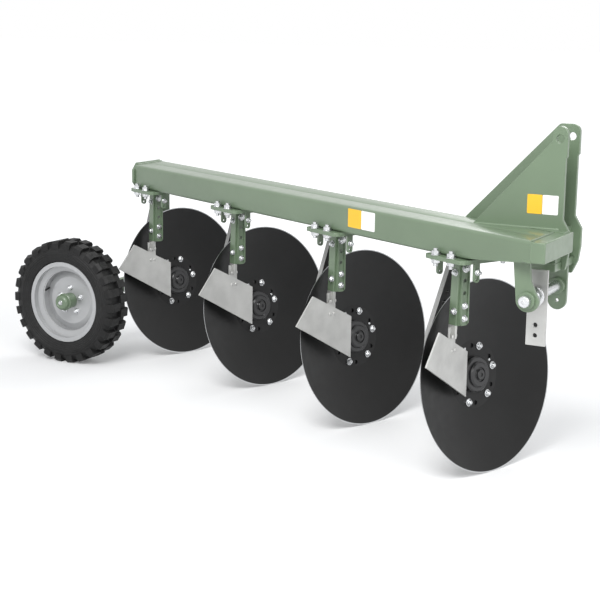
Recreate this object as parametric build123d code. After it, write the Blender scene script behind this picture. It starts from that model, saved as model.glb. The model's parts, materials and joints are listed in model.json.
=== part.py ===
from build123d import *
import math
import os

# Disc plough, four discs, mounted. Millimetres and degrees.
# The plough is drawn along its beam: X forward along the beam, Y to its left, Z up,
# with the floor at zero below the centre of the front disc. At the end it is turned
# so that X is the direction of travel and moved so that the origin is on the floor
# below the middle of the whole plough.

# Driving dimensions
disc_radius = 330.0
disc_count = 4
disc_spacing = 675.0
disc_yaw = 7.1
disc_tilt = 7.6
beam_yaw = 26.5
tube_side = 100.0
beam_wall = 8.0
beam_bottom = 754.0
beam_left = 0.0
beam_rear_overhang = 85.0
beam_front = 250.0
tyre_radius = 270.0
tyre_width = 135.0
overrun = 40.0

# Blade: a ball-shaped dish with a flat middle
dish_depth = 70.0
blade_thickness = 6.0
flat_radius = 118.0
blade_bore_radius = 40.0
rim_bevel = 10.0
hub_bolt_count = 6
hub_bolt_circle = 99.0
hub_bolt_hole_radius = 8.0

# Hub that turns with the blade
cap_radius = 62.0
cap_height = 20.0
cap_step_radius = 44.0
cap_step_height = 30.0
cap_nose_radius = 18.0
cap_nose_height = 35.0
spigot_clearance = 0.2
flange_radius = 115.0
flange_thickness = 14.0
hub_boss_radius = 66.0
hub_boss_length = 12.0
spindle_radius = 28.0
spindle_length = 70.0
hub_bolt_radius = 7.0
hub_bolt_head_radius = 11.5
hub_bolt_head_height = 8.0
hub_bolt_dome = 6.0

# Bearing housing behind the disc
running_gap = 6.0
bearing_clearance = 0.05
housing_collar_radius = 70.0
housing_collar_length = 18.0
housing_body_radius = 57.0
housing_length = 84.0
housing_foot_radius = 74.0
housing_foot_length = 14.0
housing_rib_thickness = 10.0
housing_rib_count = 6
spindle_end_gap = 3.0

# Standard: bent flat bar from the beam down to the bearing housing
leg_width = 50.0
leg_thickness = 18.0
leg_offset = 60.0
leg_pad_radius = 78.0
leg_drop = 55.0
leg_knee_height = 135.0
leg_lean = 27.0
leg_bend_radius = 120.0
leg_hole_radius = 7.0
leg_hole_heights = (255.0, 290.0)

# Bracket under the beam, one for each disc
plate_thickness = 14.0
plate_rear = 84.0
plate_front = 105.0
plate_margin = 28.0
plate_corner = 20.0
ear_thickness = 10.0
ear_width = 60.0
ear_drop = 62.0
ear_offset = 160.0
ear_hole_radius = 9.0
hanger_rear = 2.0
hanger_depth = 42.0
hanger_width = 36.0
hanger_offset = 148.0
hanger_wall = 6.0
hanger_length = 217.0
hanger_corner = 16.0
hanger_hole_radius = 6.5
hanger_hole_count = 4
hanger_hole_pitch = 42.0
hanger_hole_margin = 22.0
clamp_nut_radius = 15.0
clamp_nut_height = 14.0
clamp_nut_inset = 13.0
clamp_nut_spread = 38.0

# Scraper: an arm on the hanger and a bent-back plate in the dish
arm_width = 34.0
arm_thickness = 8.0
arm_overlap = 110.0
arm_lap = 40.0
tab_width = 42.0
tab_length = 104.0
blade_plate_thickness = 6.0
scraper_forward = 22.0
scraper_offset = 180.0
scraper_left = 181.0
scraper_top_left = 95.0
scraper_right = 113.0
scraper_top = 191.0
scraper_shoulder = 88.0
scraper_side = 92.0
scraper_bottom = 70.0
scraper_yaws = (112.0, 101.0, 101.0, 101.0)

# Beam ends
beam_corner = 12.0
end_plate_thickness = 12.0
end_plate_margin = 7.0
end_plate_chamfer = 32.0
front_plate_thickness = 12.0

# Headstock, placed along the travel direction from the front disc
headstock_right = -77.0
headstock_left = 63.0
headstock_thickness = 16.0
mast_rear = -43.0
mast_low_rear = 162.0
mast_front = 260.0
lug_x = 239.0
lug_width = 51.0
lug_top = 1182.0
lug_shoulder = 1086.0
lug_hole_z = 1142.0
lug_hole_radius = 12.85
mast_nose = 281.0
nose_top = 884.0
nose_high = 844.0
nose_low = 791.0
nose_foot = 274.0
mast_slope = 47.5
cover_thickness = 10.0
cover_inset = 7.0
cover_end = 186.0
deck_thickness = 12.0
deck_lift = 24.0
base_right = -137.0
base_rear = 168.0
base_front = 300.0
base_thickness = 27.0

# Lower hitch
pin_x = 230.0
pin_z = 661.0
pin_radius = 18.0
pin_right_end = -326.0
pin_left_end = 58.0
cheek_right = -290.0
cheek_left = 4.0
cheek_thickness = 16.0
cheek_round = 38.0
cheek_neck = 70.0
cheek_lean = 34.0
boss_radius = 28.0
boss_length = 12.0
collar_radius = 26.0
collar_length = 14.0
bar_side = -204.0
bar_thickness = 10.0
bar_width = 65.0
bar_top = 744.0
bar_bottom = 470.0
bar_hole_radius = 8.0
bar_hole_drop = 90.0
bar_hole_pitch = 40.0

# Wheel and its carrier, wheel placed along the travel direction
wheel_x = -2140.0
wheel_y = 494.0
rim_radius = 163.0
rim_width = 108.0
rim_wall = 4.0
rim_flange_height = 14.0
rim_drop = 26.0
rim_disc_thickness = 5.0
rim_disc_offset = 6.0
bead_clearance = 0.3
lug_height = 14.0
tyre_wall = 11.0
lug_count = 26
lug_share = 0.52
wheel_hub_radius = 33.0
wheel_hub_nose = 72.0
wheel_hub_back = 48.0
wheel_hub_flange_radius = 74.0
wheel_hub_flange = 9.0
wheel_bolt_count = 5
wheel_bolt_circle = 56.0
wheel_bolt_radius = 7.0
wheel_bolt_head_radius = 10.0
wheel_bolt_head_height = 9.0
axle_radius = 17.5
axle_collar_radius = 32.0
axle_collar_length = 70.0
axle_gap = 5.0
carrier_arm_radius = 34.0
stem_side = 50.0
stem_wall = 6.0
stem_x = -2290.0
stem_y = 40.0
stem_foot = 318.0
sleeve_side = 74.0
sleeve_length = 140.0
sleeve_clearance = 0.3
carrier_beam_side = 80.0
stem_stand_out = 36.0

# Worked out from the above
dish_ball = (disc_radius**2 + dish_depth**2) / (2 * dish_depth)
dish_centre = dish_ball - dish_depth
disc_z = disc_radius * math.cos(math.radians(disc_tilt))
beam_width = 2 * tube_side
beam_right = beam_left - beam_width
beam_top = beam_bottom + tube_side
beam_middle = (beam_left + beam_right) / 2
disc_places = [-disc_spacing * k for k in range(disc_count)]
beam_rear = disc_places[-1] - beam_rear_overhang
travel = Location((0, 0, 0), (0, 0, beam_yaw))


def concave(radius, offset=0.0):
    """How far in front of the rim plane the dish surface is, at a radius."""
    return dish_centre - math.sqrt((dish_ball + offset)**2 - radius**2)


def turned(*points):
    """Ring or plug turned about X from its half section, given as (along X, radius)."""
    return revolve(make_face(Plane.XZ * Polyline(*points, close=True)), Axis.X)


def ring_places(count, radius):
    """Places round X at a radius."""
    return [Rotation(360.0 / count * k, 0, 0) * Location((0, 0, radius)) for k in range(count)]


def block(x0, x1, y0, y1, z0, z1):
    """Box between two corners."""
    size = (x1 - x0, y1 - y0, z1 - z0)
    middle = ((x0 + x1) / 2, (y0 + y1) / 2, (z0 + z1) / 2)
    return Location(middle) * Box(*size)


def along_x(radius, length):
    """Cylinder from the origin along +X."""
    return Rotation(0, 90, 0) * Cylinder(radius, length, align=(Align.CENTER, Align.CENTER, Align.MIN))


def along_y(radius, length):
    """Cylinder from the origin along +Y."""
    return Rotation(-90, 0, 0) * Cylinder(radius, length, align=(Align.CENTER, Align.CENTER, Align.MIN))


flat_front = concave(flat_radius)
flat_back = concave(flat_radius, blade_thickness)
flange_back = flat_back - flange_thickness
boss_back = flange_back - hub_boss_length
housing_front = boss_back - running_gap
housing_back = housing_front - housing_length


def disc_blade():
    """Dished blade with a flat middle, a bore, bolt holes and a ground rim."""
    mid = (flat_radius + disc_radius) / 2
    back_rim = disc_radius - rim_bevel
    back_mid = (flat_radius + back_rim) / 2
    section = Curve() + [
        Line((flat_front, blade_bore_radius), (flat_front, flat_radius)),
        ThreePointArc((flat_front, flat_radius), (concave(mid), mid), (0, disc_radius)),
        Line((0, disc_radius), (concave(back_rim, blade_thickness), back_rim)),
        ThreePointArc((concave(back_rim, blade_thickness), back_rim),
                      (concave(back_mid, blade_thickness), back_mid), (flat_back, flat_radius)),
        Line((flat_back, flat_radius), (flat_back, blade_bore_radius)),
        Line((flat_back, blade_bore_radius), (flat_front, blade_bore_radius)),
    ]
    blade = revolve(make_face(Plane.XZ * section), Axis.X)
    for place in ring_places(hub_bolt_count, hub_bolt_circle):
        start = Location((flat_back - overrun, 0, 0))
        blade -= start * place * along_x(hub_bolt_hole_radius, 2 * overrun)
    return blade


def disc_hub():
    """Hub cap, flange and spindle on one axis, with the bolts that hold the blade."""
    spigot = blade_bore_radius - spigot_clearance
    hub = turned(
        (flat_front + cap_nose_height, 0),
        (flat_front + cap_nose_height, cap_nose_radius),
        (flat_front + cap_step_height, cap_nose_radius),
        (flat_front + cap_step_height, cap_step_radius),
        (flat_front + cap_height, cap_step_radius),
        (flat_front + cap_height, cap_radius),
        (flat_front, cap_radius),
        (flat_front, spigot),
        (flat_back, spigot),
        (flat_back, flange_radius),
        (flange_back, flange_radius),
        (flange_back, hub_boss_radius),
        (boss_back, hub_boss_radius),
        (boss_back, spindle_radius),
        (boss_back - spindle_length, spindle_radius),
        (boss_back - spindle_length, 0),
    )
    shank = flat_front - flat_back
    head = hub_bolt_head_height + hub_bolt_dome
    bolt = turned(
        (-shank, 0), (-shank, hub_bolt_radius), (0, hub_bolt_radius), (0, hub_bolt_head_radius),
        (hub_bolt_head_height, hub_bolt_head_radius), (head, hub_bolt_head_radius / 2), (head, 0),
    )
    for place in ring_places(hub_bolt_count, hub_bolt_circle):
        hub += Location((flat_front, 0, 0)) * place * bolt
    return hub


def bearing_housing():
    """Ribbed housing round the spindle, with a foot that bolts to the standard."""
    bore = spindle_radius + bearing_clearance
    blind = boss_back - spindle_length - spindle_end_gap
    housing = turned(
        (housing_front, bore),
        (housing_front, housing_collar_radius),
        (housing_front - housing_collar_length, housing_collar_radius),
        (housing_front - housing_collar_length, housing_body_radius),
        (housing_back + housing_foot_length, housing_body_radius),
        (housing_back + housing_foot_length, housing_foot_radius),
        (housing_back, housing_foot_radius),
        (housing_back, 0),
        (blind, 0),
        (blind, bore),
    )
    half = housing_rib_thickness / 2
    reach = min(housing_collar_radius, housing_foot_radius)
    rib = block(housing_back, housing_front, -half, half, bore + half, reach)
    for k in range(housing_rib_count):
        housing += Rotation(360.0 / housing_rib_count * k, 0, 0) * rib
    return housing


def leg():
    """Bent flat bar with a round pad behind the housing, cut level under the bracket."""
    start_x = housing_back - leg_thickness / 2
    rise = (beam_bottom - disc_z) + leg_drop
    top_x = start_x + (rise - leg_knee_height) * math.tan(math.radians(leg_lean))
    path = FilletPolyline((start_x, -leg_offset, -leg_drop), (start_x, -leg_offset, leg_knee_height),
                          (top_x, -leg_offset, rise), radius=leg_bend_radius)
    section = Plane(origin=path @ 0, x_dir=(0, 1, 0), z_dir=path % 0) * Rectangle(leg_width, leg_thickness)
    bar = sweep(section, path=path)
    pad = Location((housing_back - leg_thickness, 0, 0)) * along_x(leg_pad_radius, leg_thickness)
    bar += pad
    for height in leg_hole_heights:
        x = start_x + (height - leg_knee_height) * math.tan(math.radians(leg_lean))
        bar -= Location((x - overrun, -leg_offset, height)) * along_x(leg_hole_radius, 2 * overrun)
    return bar


def bracket():
    """Plate under the beam with two ears, a perforated channel hanger and clamp nuts."""
    low = beam_bottom - plate_thickness
    y0 = beam_right - plate_margin
    y1 = beam_left + plate_margin
    plate = block(-plate_rear, plate_front, y0, y1, low, beam_bottom)
    plate = fillet(plate.edges().filter_by(Axis.Z), plate_corner)
    ear_face = Plane.YZ * make_hull(
        (Location((-ear_offset, low - ear_drop + ear_width / 2)) * Circle(ear_width / 2)).edges()
        + (Location((-ear_offset, low - ear_width / 4)) * Rectangle(ear_width, ear_width / 2)).edges())
    ear_face -= Plane.YZ * Location((-ear_offset, low - ear_drop + ear_width / 2)) * Circle(ear_hole_radius)
    ear = extrude(ear_face, ear_thickness, dir=(1, 0, 0))
    result = plate + Location((-plate_rear, 0, 0)) * ear
    result += Location((plate_front - ear_thickness, 0, 0)) * ear
    right = -hanger_offset - hanger_width / 2
    left = -hanger_offset + hanger_width / 2
    front = hanger_depth - hanger_rear
    post = block(-hanger_rear, front, right, left, low - hanger_length, low)
    inner = block(-hanger_rear - overrun, front - hanger_wall, right + hanger_wall, left - hanger_wall,
                  low - hanger_length - overrun, low)
    post -= inner
    foot_edges = post.edges().filter_by(Axis.X).group_by(Axis.Z)[0]
    outer = [e for e in foot_edges if abs(abs(e.center().Y + hanger_offset) - hanger_width / 2) < hanger_wall / 2]
    post = fillet(outer, min(hanger_wall * 0.9, hanger_corner))
    for k in range(hanger_hole_count):
        z = low - hanger_length + hanger_hole_margin + hanger_hole_pitch * k
        post -= Location((front - overrun, -hanger_offset, z)) * along_x(hanger_hole_radius, 2 * overrun)
    result += post
    nut = extrude(RegularPolygon(clamp_nut_radius, 6), clamp_nut_height)
    for x in (-clamp_nut_spread, clamp_nut_spread):
        for y in (y0 + clamp_nut_inset, y1 - clamp_nut_inset):
            result += Location((x, y, beam_bottom)) * nut
    return result


def scraper(yaw):
    """Scraper arm and plate. The plate leans back into the dish by its own yaw."""
    right = -hanger_offset - hanger_width / 2
    low = beam_bottom - plate_thickness - hanger_length
    turn = math.radians(yaw)
    plate_plane = Plane(origin=(scraper_forward, -scraper_offset, disc_z),
                        x_dir=(math.cos(turn), math.sin(turn), 0),
                        z_dir=(math.sin(turn), -math.cos(turn), 0))
    outline = Polyline((-scraper_top_left, scraper_top), (scraper_right, scraper_shoulder),
                       (scraper_right, -scraper_bottom), (-scraper_left, scraper_side), close=True)
    plate = extrude(plate_plane * make_face(outline), -blade_plate_thickness)
    arm_low = disc_z + scraper_top - arm_lap
    arm = block(0, arm_width, right - arm_thickness, right, arm_low, low + arm_overlap)
    tab_place = Location((tab_width / 4, scraper_top - tab_length / 2, 0))
    tab_plane = plate_plane.offset(-blade_plate_thickness - arm_thickness)
    tab = extrude(tab_plane * tab_place * Rectangle(tab_width, tab_length), arm_thickness)
    return arm + tab, plate


def beam():
    """Two square tubes welded side by side, cut square to the travel direction in front."""
    reach = beam_front + beam_width
    tubes = block(beam_rear, reach, beam_middle - beam_corner, beam_middle + beam_corner,
                  beam_bottom, beam_bottom + beam_wall)
    tubes += block(beam_rear, reach, beam_middle - beam_corner, beam_middle + beam_corner,
                   beam_top - beam_wall, beam_top)
    for y in (beam_right, beam_right + tube_side):
        outer = block(beam_rear, reach, y, y + tube_side, beam_bottom, beam_top)
        outer = fillet(outer.edges().filter_by(Axis.X), beam_corner)
        inner = block(beam_rear - overrun, reach + overrun, y + beam_wall, y + tube_side - beam_wall,
                      beam_bottom + beam_wall, beam_top - beam_wall)
        tubes = tubes + outer - inner
    ahead = block(beam_front, beam_front + 2 * beam_width, -3 * beam_width, 2 * beam_width,
                  beam_bottom - overrun, beam_top + overrun)
    return tubes - travel * ahead


def front_plate():
    """Plate that closes the beam in front, as far as the right side plate."""
    near = -(beam_front * math.sin(math.radians(beam_yaw)) + beam_width) / math.cos(math.radians(beam_yaw))
    return block(beam_front, beam_front + front_plate_thickness, near, headstock_right, beam_bottom, beam_top)


def rear_plate():
    """Eight-sided cap a little larger than the beam."""
    tall = tube_side + 2 * end_plate_margin
    wide = beam_width + 2 * end_plate_margin
    face = chamfer(Rectangle(wide, tall).vertices(), end_plate_chamfer)
    middle = (beam_rear, beam_middle, (beam_bottom + beam_top) / 2)
    return extrude(Plane(origin=middle, x_dir=(0, 1, 0), z_dir=(-1, 0, 0)) * face, end_plate_thickness)


def slope_z(x):
    """Height of the sloping edge of the side plates."""
    return beam_top + (x - mast_rear) * math.tan(math.radians(mast_slope))


def mast_plate(right_side, low_rear):
    """Headstock side plate: slope, lug on top, and a nose that goes down in front from low_rear."""
    lug_rear = lug_x - lug_width / 2
    lug_front = lug_x + lug_width / 2
    crown = lug_top - lug_width / 2
    points = [(mast_rear, beam_top), (lug_rear, slope_z(lug_rear)), (lug_rear, crown), (lug_front, crown),
              (lug_front, lug_shoulder), (mast_front, lug_shoulder), (mast_front, nose_top),
              (mast_nose, nose_high), (mast_nose, nose_low), (nose_foot, beam_bottom), (low_rear, beam_bottom)]
    if low_rear > mast_rear:
        points.append((low_rear, beam_top))
    face = make_face(Polyline(*points, close=True)) + Location((lug_x, crown)) * Circle(lug_width / 2)
    face -= Location((lug_x, lug_hole_z)) * Circle(lug_hole_radius)
    plane = Plane(origin=(0, right_side, 0), x_dir=(1, 0, 0), z_dir=(0, -1, 0))
    return extrude(plane * face, -headstock_thickness)


def headstock_cover():
    """Sloping strip between the side plates, a little below their edges."""
    inner = headstock_right + headstock_thickness
    outer = headstock_left - headstock_thickness
    drop = cover_inset / math.cos(math.radians(mast_slope))
    depth = cover_thickness / math.cos(math.radians(mast_slope))
    start = mast_rear + (drop + depth) / math.tan(math.radians(mast_slope))
    face = make_face(Polyline((start, beam_top), (cover_end, slope_z(cover_end) - drop - depth),
                              (cover_end, slope_z(cover_end) - drop),
                              (mast_rear + drop / math.tan(math.radians(mast_slope)), beam_top), close=True))
    plane = Plane(origin=(0, outer, 0), x_dir=(1, 0, 0), z_dir=(0, -1, 0))
    return extrude(plane * face, outer - inner)


def head_deck():
    """Closed box between the beam's left side and the left side plate."""
    slant = math.tan(math.radians(beam_yaw))
    inner = headstock_right + headstock_thickness
    outer = headstock_left - headstock_thickness
    low = beam_bottom + deck_lift
    outline = [(mast_rear, -mast_rear * slant), (-inner / slant, inner), (beam_front, inner),
               (beam_front, outer), (mast_rear, outer)]
    whole = extrude(Plane.XY.offset(low) * make_face(Polyline(*outline, close=True)), beam_top - low)
    wall = deck_thickness
    hollow = extrude(Plane.XY.offset(low + wall) * offset(make_face(Polyline(*outline, close=True)), -wall,
                                                         kind=Kind.INTERSECTION), beam_top - low - 2 * wall)
    return whole - hollow


def base_plate():
    """Thick plate under the beam's front that carries both side plates."""
    return block(base_rear, base_front, base_right, headstock_left, beam_bottom - base_thickness, beam_bottom)


def cheek(side, top, lean):
    """Hitch cheek, round at the cross shaft, leaning back to its top."""
    middle = pin_x - lean
    low = pin_z - cheek_round * math.sin(math.radians(lean / 2))
    neck = make_face(Polyline((middle - cheek_neck / 2, top), (middle + cheek_neck / 2, top),
                              (pin_x + cheek_round, pin_z), (pin_x, pin_z),
                              (pin_x - cheek_round * math.cos(math.radians(lean / 2)), low), close=True))
    face = neck + Location((pin_x, pin_z)) * Circle(cheek_round)
    face -= Location((pin_x, pin_z)) * Circle(pin_radius + spigot_clearance)
    plane = Plane(origin=(0, side, 0), x_dir=(1, 0, 0), z_dir=(0, -1, 0))
    return extrude(plane * face, -cheek_thickness)


def cross_pin():
    """Cross shaft with a boss outside the right cheek and collars inside both."""
    shaft = Location((pin_x, pin_right_end, pin_z)) * along_y(pin_radius, pin_left_end - pin_right_end)
    shaft += Location((pin_x, cheek_right - boss_length, pin_z)) * along_y(boss_radius, boss_length)
    shaft += Location((pin_x, cheek_right + cheek_thickness, pin_z)) * along_y(collar_radius, collar_length)
    shaft += Location((pin_x, cheek_left - collar_length, pin_z)) * along_y(collar_radius, collar_length)
    return shaft


def drop_bar():
    """Perforated flat bar carried by the cross shaft below the beam."""
    bar = block(pin_x - bar_width / 2, pin_x + bar_width / 2, bar_side, bar_side + bar_thickness,
                bar_bottom, bar_top)
    holes = [(0.0, pin_radius + spigot_clearance)]
    holes += [(bar_hole_drop + bar_hole_pitch * k, bar_hole_radius) for k in range(2)]
    for drop, radius in holes:
        bar -= Location((pin_x, bar_side - overrun, pin_z - drop)) * along_y(radius, 2 * overrun)
    return bar


def tyre():
    """Tyre with block lugs, turned about Y at the wheel centre."""
    half = tyre_width / 2
    base = tyre_radius - lug_height
    bead = rim_radius + bead_clearance
    over = rim_radius + rim_flange_height + bead_clearance
    seat = rim_width / 2 - rim_wall - bead_clearance
    shoulder = lug_height * 1.4
    half_section = [(seat, bead), (seat, over), (half * 0.88, over + lug_height * 0.4), (half, (over + base) / 2),
                    (half * 0.92, base - shoulder), (half * 0.72, base)]
    mirrored = [(-x, r) for x, r in reversed(half_section)]
    face = make_face(Plane.XZ * Polyline(*half_section, *mirrored, close=True))
    wall = tyre_wall
    cavity = make_face(Plane.XZ * Polyline((seat - wall, bead), (seat - wall, over), (half - wall, (over + base) / 2),
                                           (half * 0.72, base - wall), (-half * 0.72, base - wall),
                                           (wall - half, (over + base) / 2), (wall - seat, over), (wall - seat, bead),
                                           close=True))
    body = revolve(face - cavity, Axis.X)
    pitch = 360.0 / lug_count
    width = 2 * math.pi * tyre_radius / lug_count * lug_share
    low = base - shoulder
    for k in range(lug_count):
        for side in (-1, 1):
            turn = pitch * (k + (0.5 if side > 0 else 0.0))
            x0, x1 = sorted((side * tyre_width * 0.03, side * half * 0.94))
            lug = block(x0, x1, -width / 2, width / 2, low, tyre_radius)
            edge = lug.edges().filter_by(Axis.Y).group_by(Axis.Z)[-1].sort_by(Axis.X)
            lug = chamfer(edge[-1] if side > 0 else edge[0], lug_height * 0.8)
            body += Rotation(turn, 0, 0) * lug
    return body


def rim():
    """Drop-centre rim with a dished wheel disc."""
    half = rim_width / 2
    top = rim_radius + rim_flange_height
    well = rim_radius - rim_drop
    inner = well - rim_wall
    disc_x = -rim_disc_offset
    section = make_face(Plane.XZ * Polyline(
        (-half, top), (-half + rim_wall, top), (-half + rim_wall, rim_radius),
        (-half * 0.55, rim_radius), (-half * 0.42, well), (half * 0.42, well),
        (half * 0.55, rim_radius), (half - rim_wall, rim_radius), (half - rim_wall, top), (half, top),
        (half, rim_radius - rim_wall), (half * 0.55 - rim_wall, rim_radius - rim_wall),
        (half * 0.42 - rim_wall, inner), (-half * 0.42 + rim_wall, inner),
        (-half * 0.55 + rim_wall, rim_radius - rim_wall), (-half, rim_radius - rim_wall), close=True))
    ring = revolve(section, Axis.X)
    cone = inner * 0.78
    bore = wheel_hub_radius + spigot_clearance
    dish = turned((disc_x, bore), (disc_x, cone), (disc_x - rim_drop / 2, inner + rim_wall / 2),
                  (disc_x - rim_drop / 2 + rim_disc_thickness, inner + rim_wall / 2),
                  (disc_x + rim_disc_thickness, cone), (disc_x + rim_disc_thickness, bore))
    wheel = ring + dish
    for place in ring_places(wheel_bolt_count, wheel_bolt_circle):
        wheel -= Location((disc_x - overrun, 0, 0)) * place * along_x(wheel_bolt_radius + spigot_clearance, 2 * overrun)
    return wheel


def wheel_hub():
    """Wheel hub: long nose outside, flange behind the wheel disc, bolts, bored for the axle."""
    face_x = -rim_disc_offset + rim_disc_thickness
    back_x = -rim_disc_offset
    nose_x = face_x + wheel_hub_nose
    bore = axle_radius + bearing_clearance
    cap = wheel_hub_nose * 0.2
    hub = turned(
        (nose_x, 0), (nose_x, wheel_hub_radius * 0.7), (nose_x - cap * 0.4, wheel_hub_radius * 0.85),
        (nose_x - cap, wheel_hub_radius), (back_x, wheel_hub_radius),
        (back_x, wheel_hub_flange_radius), (back_x - wheel_hub_flange, wheel_hub_flange_radius),
        (back_x - wheel_hub_flange, wheel_hub_radius), (back_x - wheel_hub_back, wheel_hub_radius),
        (back_x - wheel_hub_back, bore), (nose_x - cap, bore), (nose_x - cap, 0))
    head = extrude(RegularPolygon(wheel_bolt_head_radius, 6), wheel_bolt_head_height)
    for place in ring_places(wheel_bolt_count, wheel_bolt_circle):
        hub += Location((back_x, 0, 0)) * place * along_x(wheel_bolt_radius, rim_disc_thickness)
        hub += Location((face_x, 0, 0)) * place * Rotation(0, 90, 0) * head
    return hub


def carrier():
    """Wheel carrier: axle, collar, sloping tube and upright stem, in beam directions."""
    turn = Location((0, 0, 0), (0, 0, beam_yaw)) * Location((wheel_x, wheel_y, tyre_radius)) * Rotation(0, 0, -90)
    face_x = -rim_disc_offset + rim_disc_thickness
    nose_x = face_x + wheel_hub_nose
    axle_end = nose_x - wheel_hub_nose * 0.2 - axle_gap
    collar_x = -rim_disc_offset - wheel_hub_back - axle_gap
    axle = Location((collar_x - axle_collar_length / 2, 0, 0)) * along_x(axle_radius, axle_end - collar_x + axle_collar_length / 2)
    collar = Location((collar_x - axle_collar_length, 0, 0)) * along_x(axle_collar_radius, axle_collar_length)
    inner = (turn * Location((collar_x - axle_collar_length / 2, 0, 0))).position
    foot = Vector(stem_x, stem_y, stem_foot)
    run = foot - inner
    tube = Plane(origin=inner, z_dir=run.normalized()) * Cylinder(
        carrier_arm_radius, run.length, align=(Align.CENTER, Align.CENTER, Align.MIN))
    half = stem_side / 2
    top = beam_top + stem_stand_out
    stem = block(stem_x - half, stem_x + half, stem_y - half, stem_y + half, stem_foot, top)
    cup = Location((stem_x, stem_y, stem_foot)) * Sphere(carrier_arm_radius * 1.15)
    return turn * axle + turn * collar + tube + stem + cup


def stem_sleeve():
    """Arm on the rear plate with the sleeve that clamps the stem."""
    half = sleeve_side / 2
    bore = stem_side / 2 + sleeve_clearance
    back = beam_rear - end_plate_thickness
    low = beam_bottom
    y0 = stem_y + half - carrier_beam_side
    arm = block(stem_x, back, y0 - half, y0 - half + carrier_beam_side, low, low + carrier_beam_side)
    sleeve = block(stem_x - half, stem_x + half, stem_y - half, stem_y + half,
                   low - (sleeve_length - carrier_beam_side) / 2, low + (sleeve_length + carrier_beam_side) / 2)
    bore_cut = block(stem_x - bore, stem_x + bore, stem_y - bore, stem_y + bore,
                     low - sleeve_length, beam_top + sleeve_length)
    return arm + sleeve - bore_cut


# Put everything together in the beam's directions
pieces = {}
pieces["beam"] = beam()
pieces["beam_rear_plate"] = rear_plate()
travel_pieces = {
    "beam_front_plate": front_plate(),
    "headstock_plate_right": mast_plate(headstock_right, mast_low_rear),
    "headstock_plate_left": mast_plate(headstock_left - headstock_thickness, mast_rear),
    "headstock_cover": headstock_cover(),
    "headstock_deck": head_deck(),
    "base_plate": base_plate(),
    "hitch_cheek_right": cheek(cheek_right, beam_bottom, cheek_lean),
    "hitch_cheek_left": cheek(cheek_left, beam_bottom - base_thickness, 0.0),
    "cross_pin": cross_pin(),
    "drop_bar": drop_bar(),
}
wheel_place = Location((wheel_x, wheel_y, tyre_radius)) * Rotation(0, 0, -90)
travel_pieces["tyre"] = wheel_place * tyre()
travel_pieces["wheel_rim"] = wheel_place * rim()
travel_pieces["wheel_hub"] = wheel_place * wheel_hub()
for name, piece in travel_pieces.items():
    pieces[name] = travel * piece
pieces["wheel_carrier"] = carrier()
pieces["stem_sleeve"] = stem_sleeve()

blade = disc_blade()
hub = disc_hub()
housing = bearing_housing()
standard = leg()
hanger = bracket()
above = block(-beam_width, beam_width, beam_right - beam_width, beam_left + beam_width,
              beam_bottom - plate_thickness, beam_top + beam_width)
for k, x in enumerate(disc_places):
    number = k + 1
    place = Location((x, 0, disc_z)) * Rotation(0, 0, disc_yaw) * Rotation(0, -disc_tilt, 0)
    pieces[f"disc_blade_{number}"] = place * blade
    pieces[f"disc_hub_{number}"] = place * hub
    pieces[f"bearing_housing_{number}"] = place * housing
    pieces[f"disc_leg_{number}"] = place * standard - Location((x, 0, 0)) * above
    pieces[f"disc_bracket_{number}"] = Location((x, 0, 0)) * hanger
    arm, plate = scraper(scraper_yaws[k])
    pieces[f"scraper_arm_{number}"] = Location((x, 0, 0)) * arm
    pieces[f"scraper_blade_{number}"] = Location((x, 0, 0)) * plate

# Turn to the travel direction and put the origin on the floor below the middle
turned_back = Location((0, 0, 0), (0, 0, -beam_yaw))
row = {name: turned_back * piece for name, piece in pieces.items()}
box = Compound(children=[Compound(piece.solids()) for piece in row.values()]).bounding_box()
origin = Vector((box.min.X + box.max.X) / 2, (box.min.Y + box.max.Y) / 2, box.min.Z)
shift = Location((-origin.X, -origin.Y, -origin.Z))
row = {name: shift * piece for name, piece in row.items()}

os.makedirs("parts", exist_ok=True)
for name, piece in row.items():
    export_step(Compound(piece.solids()) if len(piece.solids()) > 1 else piece.solids()[0], f"parts/{name}.step")
print("origin", origin, "size", box.size, "pieces", len(row))
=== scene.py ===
import json
import math

import bmesh
import bpy
from mathutils import Matrix, Vector
from mathutils.geometry import delaunay_2d_cdt


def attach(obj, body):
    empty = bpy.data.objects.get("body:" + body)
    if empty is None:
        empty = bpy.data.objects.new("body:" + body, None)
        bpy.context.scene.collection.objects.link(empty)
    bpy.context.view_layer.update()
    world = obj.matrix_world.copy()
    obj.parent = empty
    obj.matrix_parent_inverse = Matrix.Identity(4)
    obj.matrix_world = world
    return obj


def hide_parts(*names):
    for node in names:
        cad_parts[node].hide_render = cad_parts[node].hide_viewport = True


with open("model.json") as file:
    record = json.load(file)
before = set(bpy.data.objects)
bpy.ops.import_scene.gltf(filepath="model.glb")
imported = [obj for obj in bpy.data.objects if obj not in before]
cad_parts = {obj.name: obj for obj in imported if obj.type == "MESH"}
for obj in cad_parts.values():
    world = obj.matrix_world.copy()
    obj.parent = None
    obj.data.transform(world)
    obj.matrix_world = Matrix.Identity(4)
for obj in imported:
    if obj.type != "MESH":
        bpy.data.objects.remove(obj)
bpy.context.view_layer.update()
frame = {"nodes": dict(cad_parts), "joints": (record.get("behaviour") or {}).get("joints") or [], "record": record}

nodes = frame["nodes"]
joints = {j["name"]: j for j in frame["joints"]}

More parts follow.
